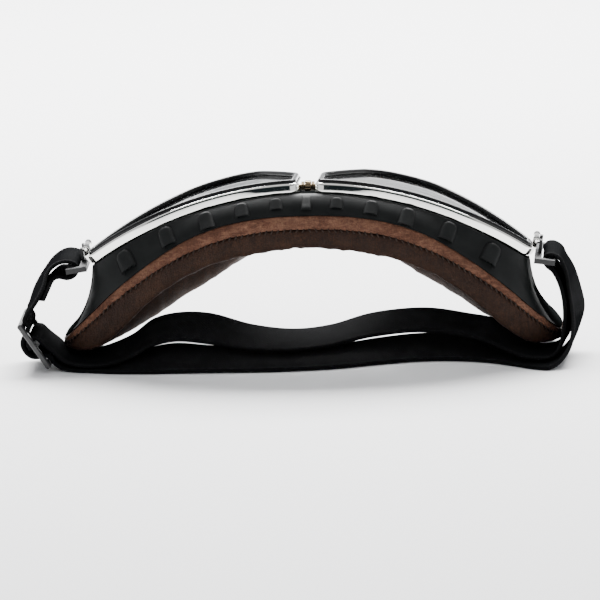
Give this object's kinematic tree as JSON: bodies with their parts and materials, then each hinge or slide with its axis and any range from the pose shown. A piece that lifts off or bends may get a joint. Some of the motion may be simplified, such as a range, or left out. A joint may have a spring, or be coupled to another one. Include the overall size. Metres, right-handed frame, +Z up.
{
  "type": "motocross goggles",
  "caption": "Vintage-style riding goggles: metal-rimmed curved lenses, vented rubber body, leather face pad and a webbing strap held by hinged loops.",
  "frame": {"origin": "on the floor under the middle of the whole object's bounding box, strap included", "axes": "+X towards the end without the slider, +Y towards the cheek side of the mask, +Z up, out through the lenses"},
  "size_m": [0.214, 0.084, 0.0709],
  "materials": {
    "rubber": "matt moulded black",
    "foam": "soft open foam",
    "leather_band": "grained red-brown",
    "leather_face": "grained dark brown",
    "rim_chrome": "polished",
    "lens": "clear, polished",
    "gasket": "glossy black",
    "steel": "plain",
    "pin_chrome": "polished",
    "loop_metal": "dark grey, satin",
    "brass": "darkened",
    "webbing": "black ribbed webbing",
    "slider_plastic": "black"
  },
  "bodies": {
    "mask": {"mask_body": "rubber", "pad_foam": "foam", "leather_outer_band": "leather_band", "leather_face_cover": "leather_face", "left_rim": "rim_chrome", "right_rim": "rim_chrome", "left_lens": "lens", "right_lens": "lens", "left_lens_gasket": "gasket", "right_lens_gasket": "gasket", "left_retaining_ring": "steel", "right_retaining_ring": "steel", "left_hinge_pin": "pin_chrome", "right_hinge_pin": "pin_chrome", "left_bridge_nut": "brass", "right_bridge_nut": "brass", "strap_webbing": "webbing"},
    "left_loop": {"left_strap_loop": "loop_metal"},
    "right_loop": {"right_strap_loop": "loop_metal"},
    "adjuster": {"bridge_adjuster": "brass"},
    "slider": {"strap_slider": "slider_plastic"}
  },
  "joints": [
    {"name": "right_loop_hinge", "type": "hinge", "parent": "mask", "child": "right_loop", "pos_m": [0.08928, -0.00036, 0.04275], "axis": [0, 1, 0], "range_deg": [-65, 6], "deforming": ["strap_webbing"]},
    {"name": "left_loop_hinge", "type": "hinge", "parent": "mask", "child": "left_loop", "pos_m": [-0.08212, -0.00036, 0.04275], "axis": [0, -1, 0], "range_deg": [-65, 6], "deforming": ["strap_webbing"]},
    {"name": "bridge_adjuster_turn", "type": "hinge", "parent": "mask", "child": "adjuster", "pos_m": [0.00358, -0.01226, 0.06665], "axis": [1, 0, 0], "continuous": true},
    {"name": "slider_slide", "type": "slide", "parent": "mask", "child": "slider", "axis": [-0.55, 0, 0.8352], "range_m": [-0.0015, 0.005], "deforming": ["strap_webbing"]}
  ]
}
